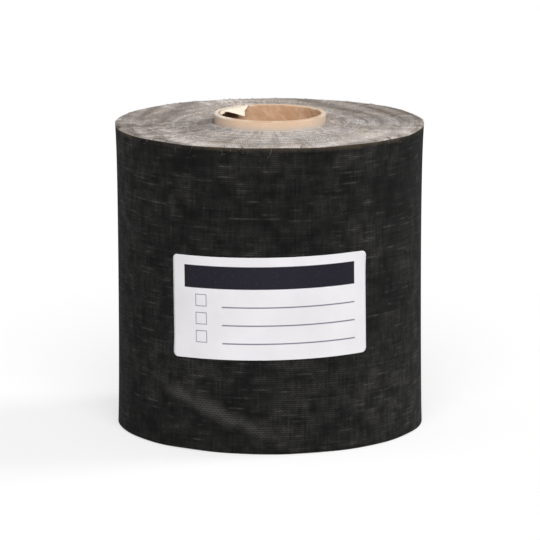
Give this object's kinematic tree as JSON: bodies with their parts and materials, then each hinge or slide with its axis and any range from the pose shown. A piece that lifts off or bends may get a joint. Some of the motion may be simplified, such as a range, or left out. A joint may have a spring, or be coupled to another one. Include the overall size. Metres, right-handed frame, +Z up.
{
  "type": "roll of asphalt saturated fabric",
  "caption": "Narrow roll of black asphalt saturated woven cotton fabric on a paper tube, standing on its end with a plain white label on its side.",
  "frame": {"origin": "centre of the roll's foot, where the wound fabric stands on the floor", "axes": "+Z up along the roll's axis, -Y out through the middle of the label"},
  "size_m": [0.1521, 0.1524, 0.157],
  "materials": {
    "saturated_fabric": "matte",
    "kraft_tube": "matte",
    "label_paper": "satin"
  },
  "bodies": {
    "root": {"fabric_roll": "saturated_fabric", "core_tube": "kraft_tube", "label": "label_paper"}
  },
  "joints": []
}
